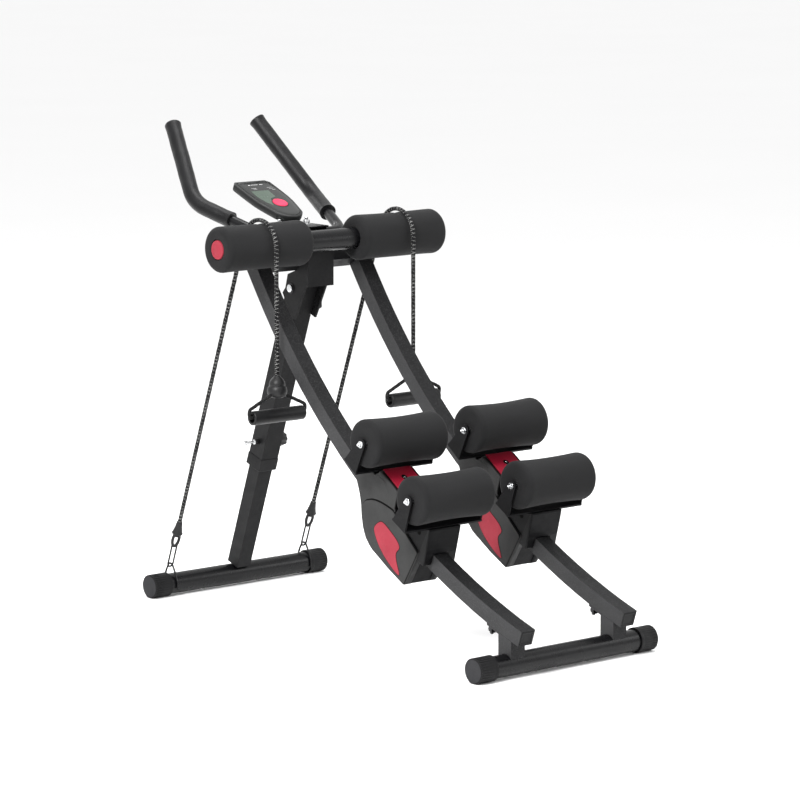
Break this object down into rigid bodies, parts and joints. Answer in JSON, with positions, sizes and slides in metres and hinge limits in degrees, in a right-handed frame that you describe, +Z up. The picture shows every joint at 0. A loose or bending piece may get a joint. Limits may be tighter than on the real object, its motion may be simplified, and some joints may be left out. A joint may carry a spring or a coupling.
{
  "type": "ab crunch machine",
  "caption": "Curved-rail ab crunch machine with rolling knee carriages, padded elbow bar, folding rear leg, handlebar monitor and pull ropes.",
  "frame": {"origin": "on the floor under the middle of the overall box", "axes": "+X across the machine towards its right-hand rail, +Y from the front foot to the rear foot, +Z up"},
  "size_m": [0.653, 1.3186, 1.1403],
  "materials": {
    "black_steel": "semi-gloss powder coat",
    "grey_steel": "fine textured powder coat",
    "moulding": "moulded",
    "cover": "fine grain",
    "foam": "matte foam skin",
    "red": "smooth",
    "zinc": "bright zinc plate",
    "display": "smoked clear",
    "rope": "braided",
    "nylon": "turned nylon"
  },
  "bodies": {
    "frame": {"front_foot_tube": "black_steel", "crossbeam": "black_steel", "hinge_bracket": "black_steel", "pivot_bolt": "zinc", "pad_tube": "black_steel", "handlebar_bracket": "black_steel", "handlebar_tube": "black_steel", "monitor_housing": "moulding", "monitor_lens": "display", "left_rail": "grey_steel", "left_rail_foot": "grey_steel", "left_elbow_pad": "foam", "left_pad_plug": "red", "left_grip": "foam", "left_rope": "rope", "right_rail": "grey_steel", "right_rail_foot": "grey_steel", "right_elbow_pad": "foam", "right_pad_plug": "red", "right_grip": "foam", "right_rope": "rope", "front_left_cap": "moulding", "front_right_cap": "moulding"},
    "leg": {"upright_sleeve": "grey_steel"},
    "post": {"lower_post": "grey_steel", "rear_foot_tube": "black_steel", "rear_left_cap": "moulding", "rear_right_cap": "moulding", "left_d_ring": "black_steel", "left_rope_hook": "black_steel", "right_d_ring": "black_steel", "right_rope_hook": "black_steel"},
    "fold_knob": {"fold_knob": "moulding"},
    "height_knob": {"height_knob": "moulding"},
    "height_pin": {"height_pin": "zinc"},
    "monitor_button": {"monitor_button": "red"},
    "left_carriage": {"left_carriage_frame": "grey_steel", "left_outer_cover": "cover", "left_inner_cover": "cover", "left_top_plate": "red", "left_lower_axle": "zinc", "left_upper_axle": "zinc"},
    "left_lower_roller": {"left_lower_roller": "foam"},
    "left_upper_roller": {"left_upper_roller": "foam"},
    "left_front_wheel": {"left_front_wheel": "nylon"},
    "left_rear_wheel": {"left_rear_wheel": "nylon"},
    "left_under_wheel": {"left_under_wheel": "nylon"},
    "left_handle": {"left_rope_handle": "foam"},
    "right_carriage": {"right_carriage_frame": "grey_steel", "right_outer_cover": "cover", "right_inner_cover": "cover", "right_top_plate": "red", "right_lower_axle": "zinc", "right_upper_axle": "zinc"},
    "right_lower_roller": {"right_lower_roller": "foam"},
    "right_upper_roller": {"right_upper_roller": "foam"},
    "right_front_wheel": {"right_front_wheel": "nylon"},
    "right_rear_wheel": {"right_rear_wheel": "nylon"},
    "right_under_wheel": {"right_under_wheel": "nylon"},
    "right_handle": {"right_rope_handle": "foam"}
  },
  "joints": [
    {"name": "leg_fold", "type": "hinge", "parent": "frame", "child": "leg", "pos_m": [0, 0.3116, 0.757], "axis": [-1, 0, 0], "range_deg": [0, 55], "deforming": ["left_rope", "right_rope"]},
    {"name": "leg_extension", "type": "slide", "parent": "leg", "child": "post", "axis": [0, 0.3361, -0.9418], "range_m": [0, 0.09], "deforming": ["left_rope", "right_rope"]},
    {"name": "fold_knob_turn", "type": "hinge", "parent": "frame", "child": "fold_knob", "pos_m": [0.04, 0.32706, 0.71368], "axis": [1, 0, 0], "continuous": true},
    {"name": "height_knob_turn", "type": "hinge", "parent": "leg", "child": "height_knob", "pos_m": [0.036, 0.44874, 0.37274], "axis": [1, 0, 0], "continuous": true},
    {"name": "height_pin_pull", "type": "slide", "parent": "leg", "child": "height_pin", "axis": [-1, 0, 0], "range_m": [0, 0.015], "stiffness_N_per_m": 400, "springref_m": -0.003},
    {"name": "monitor_button_press", "type": "slide", "parent": "frame", "child": "monitor_button", "axis": [0, 0.3746, -0.9272], "range_m": [0, 0.002], "stiffness_N_per_m": 500, "springref_m": -0.0005},
    {"name": "left_carriage_travel", "type": "hinge", "parent": "frame", "child": "left_carriage", "pos_m": [-0.1525, -1.1954, 1.76], "axis": [1, 0, 0], "range_deg": [-5.5, 11.5]},
    {"name": "left_lower_roller_turn", "type": "hinge", "parent": "left_carriage", "child": "left_lower_roller", "pos_m": [-0.1525, -0.38739, 0.36976], "axis": [1, 0, 0], "continuous": true},
    {"name": "left_upper_roller_turn", "type": "hinge", "parent": "left_carriage", "child": "left_upper_roller", "pos_m": [-0.1525, -0.22683, 0.47644], "axis": [1, 0, 0], "continuous": true},
    {"name": "left_front_wheel_turn", "type": "hinge", "parent": "left_carriage", "child": "left_front_wheel", "pos_m": [-0.1525, -0.32047, 0.28415], "axis": [1, 0, 0], "continuous": true},
    {"name": "left_rear_wheel_turn", "type": "hinge", "parent": "left_carriage", "child": "left_rear_wheel", "pos_m": [-0.1525, -0.18021, 0.37688], "axis": [1, 0, 0], "continuous": true},
    {"name": "left_under_wheel_turn", "type": "hinge", "parent": "left_carriage", "child": "left_under_wheel", "pos_m": [-0.1525, -0.21347, 0.2654], "axis": [1, 0, 0], "continuous": true},
    {"name": "left_handle_swing", "type": "hinge", "parent": "frame", "child": "left_handle", "pos_m": [-0.201, 0.1524, 0.877], "axis": [1, 0, 0], "range_deg": [-4, 20], "deforming": ["left_rope"]},
    {"name": "right_carriage_travel", "type": "hinge", "parent": "frame", "child": "right_carriage", "pos_m": [0.1525, -1.1954, 1.76], "axis": [1, 0, 0], "range_deg": [-5.5, 11.5]},
    {"name": "right_lower_roller_turn", "type": "hinge", "parent": "right_carriage", "child": "right_lower_roller", "pos_m": [0.1525, -0.38739, 0.36976], "axis": [1, 0, 0], "continuous": true},
    {"name": "right_upper_roller_turn", "type": "hinge", "parent": "right_carriage", "child": "right_upper_roller", "pos_m": [0.1525, -0.22683, 0.47644], "axis": [1, 0, 0], "continuous": true},
    {"name": "right_front_wheel_turn", "type": "hinge", "parent": "right_carriage", "child": "right_front_wheel", "pos_m": [0.1525, -0.32047, 0.28415], "axis": [1, 0, 0], "continuous": true},
    {"name": "right_rear_wheel_turn", "type": "hinge", "parent": "right_carriage", "child": "right_rear_wheel", "pos_m": [0.1525, -0.18021, 0.37688], "axis": [1, 0, 0], "continuous": true},
    {"name": "right_under_wheel_turn", "type": "hinge", "parent": "right_carriage", "child": "right_under_wheel", "pos_m": [0.1525, -0.21347, 0.2654], "axis": [1, 0, 0], "continuous": true},
    {"name": "right_handle_swing", "type": "hinge", "parent": "frame", "child": "right_handle", "pos_m": [0.211, 0.1524, 0.877], "axis": [1, 0, 0], "range_deg": [-4, 20], "deforming": ["right_rope"]}
  ],
  "couplings": [
    {"joint": "left_front_wheel_turn", "follows": "left_carriage_travel", "ratio": -96.333},
    {"joint": "left_rear_wheel_turn", "follows": "left_carriage_travel", "ratio": -96.333},
    {"joint": "left_under_wheel_turn", "follows": "left_carriage_travel", "ratio": 98.333},
    {"joint": "right_front_wheel_turn", "follows": "right_carriage_travel", "ratio": -96.333},
    {"joint": "right_rear_wheel_turn", "follows": "right_carriage_travel", "ratio": -96.333},
    {"joint": "right_under_wheel_turn", "follows": "right_carriage_travel", "ratio": 98.333}
  ]
}
